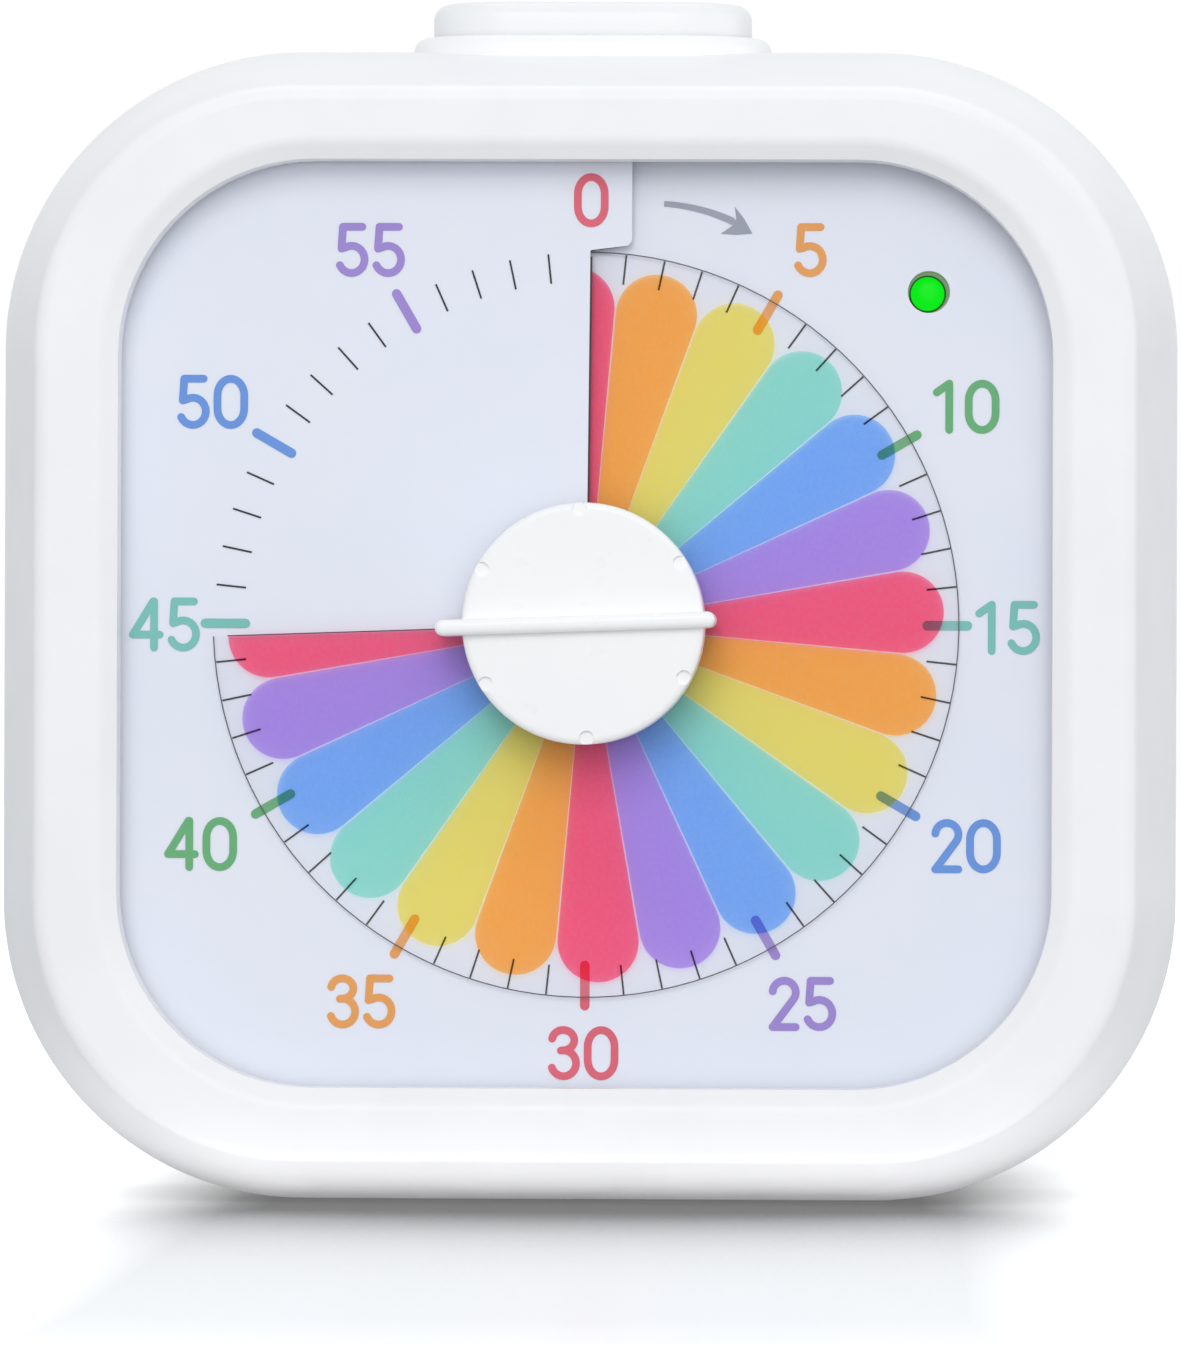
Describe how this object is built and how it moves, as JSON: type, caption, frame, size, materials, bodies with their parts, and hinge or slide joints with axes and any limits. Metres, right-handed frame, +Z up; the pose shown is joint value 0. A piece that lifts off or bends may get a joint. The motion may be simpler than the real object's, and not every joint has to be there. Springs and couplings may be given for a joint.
{
  "type": "visual countdown timer",
  "caption": "Rounded-square white desk timer with a recessed spiral dial, a rainbow petal film disc that winds out of a slit, a setting knob, a top button and a green lamp.",
  "frame": {"origin": "middle of the footprint of the overall box, on the surface the timer stands on", "axes": "+Z up, the dial faces -Y, +X to the right of someone reading the dial"},
  "size_m": [0.09, 0.044, 0.0918],
  "materials": {
    "shell_plastic": "fine satin moulding",
    "button_plastic": "satin",
    "knob_plastic": "satin",
    "card_sheet": "matt printed sheet",
    "film_clear": "clear gloss film with coloured petals",
    "plate_plastic": "matt",
    "inner_plastic": "matt",
    "gear_plastic": "natural acetal",
    "steel": "bright",
    "screw_steel": "zinc plated",
    "magnet": "sintered",
    "copper_wire": "enamelled copper",
    "board": "solder mask",
    "lamp_green": "lit green lamp",
    "buzzer_brass": "brass disc",
    "nickel": "nickel plated",
    "cell_jacket": "plain printed jacket"
  },
  "bodies": {
    "case": {"front_shell": "shell_plastic", "rear_shell": "shell_plastic", "case_screws": "screw_steel", "dial_plate": "plate_plastic", "dial_plate_screws": "screw_steel", "dial_card": "card_sheet", "movement_case_front": "inner_plastic", "movement_case_rear": "inner_plastic", "movement_screws": "screw_steel", "idler_pin": "steel", "stator": "steel", "coil_bobbin": "inner_plastic", "coil_winding": "copper_wire", "main_board": "board", "main_board_screws": "screw_steel", "lamp": "lamp_green", "tact_switch_body": "inner_plastic", "buzzer_disc": "buzzer_brass", "volume_board": "board", "volume_switch_body": "nickel", "battery_cells": "cell_jacket", "battery_contacts": "nickel", "battery_springs": "steel"},
    "knob": {"setting_knob": "knob_plastic", "drive_hub": "plate_plastic", "drive_arbor": "steel", "centre_wheel": "gear_plastic"},
    "film": {"film_disc": "film_clear"},
    "idler": {"idler_wheel": "gear_plastic"},
    "rotor": {"rotor_pinion": "steel", "rotor_magnet": "magnet"},
    "button": {"button_cap": "button_plastic"},
    "plunger": {"tact_plunger": "inner_plastic"},
    "volume_thumb": {"volume_slider": "inner_plastic"},
    "door": {"battery_door": "shell_plastic"}
  },
  "joints": [
    {"name": "knob_turn", "type": "hinge", "parent": "case", "child": "knob", "pos_m": [0, 0, 0.044], "axis": [0, 1, 0], "range_deg": [-268, 92]},
    {"name": "film_lift", "type": "slide", "parent": "knob", "child": "film", "axis": [0, -1, 0], "range_m": [-0.00089, 0.00031]},
    {"name": "idler_spin", "type": "hinge", "parent": "case", "child": "idler", "pos_m": [0.01061, 0, 0.03339], "axis": [0, 1, 0], "range_deg": [-368, 1072]},
    {"name": "rotor_spin", "type": "hinge", "parent": "case", "child": "rotor", "pos_m": [-0.00054, 0, 0.0302], "axis": [0, 1, 0], "range_deg": [-5145.6, 1766.4]},
    {"name": "button_press", "type": "slide", "parent": "case", "child": "button", "axis": [0, 0, -1], "range_m": [0, 0.0008], "stiffness_N_per_m": 1500},
    {"name": "plunger_press", "type": "slide", "parent": "case", "child": "plunger", "axis": [0, 0, -1], "range_m": [0, 0.0008]},
    {"name": "volume_slide", "type": "slide", "parent": "case", "child": "volume_thumb", "axis": [1, 0, 0], "range_m": [-0.002, 0.002]},
    {"name": "door_hinge", "type": "hinge", "parent": "case", "child": "door", "pos_m": [0, 0.0213, 0.01495], "axis": [-1, 0, 0], "range_deg": [0, 90]}
  ],
  "couplings": [
    {"joint": "film_lift", "follows": "knob_turn", "m_per_rad": 0.00019099},
    {"joint": "idler_spin", "follows": "knob_turn", "ratio": -4},
    {"joint": "rotor_spin", "follows": "knob_turn", "ratio": 19.2},
    {"joint": "plunger_press", "follows": "button_press", "ratio": 1}
  ]
}
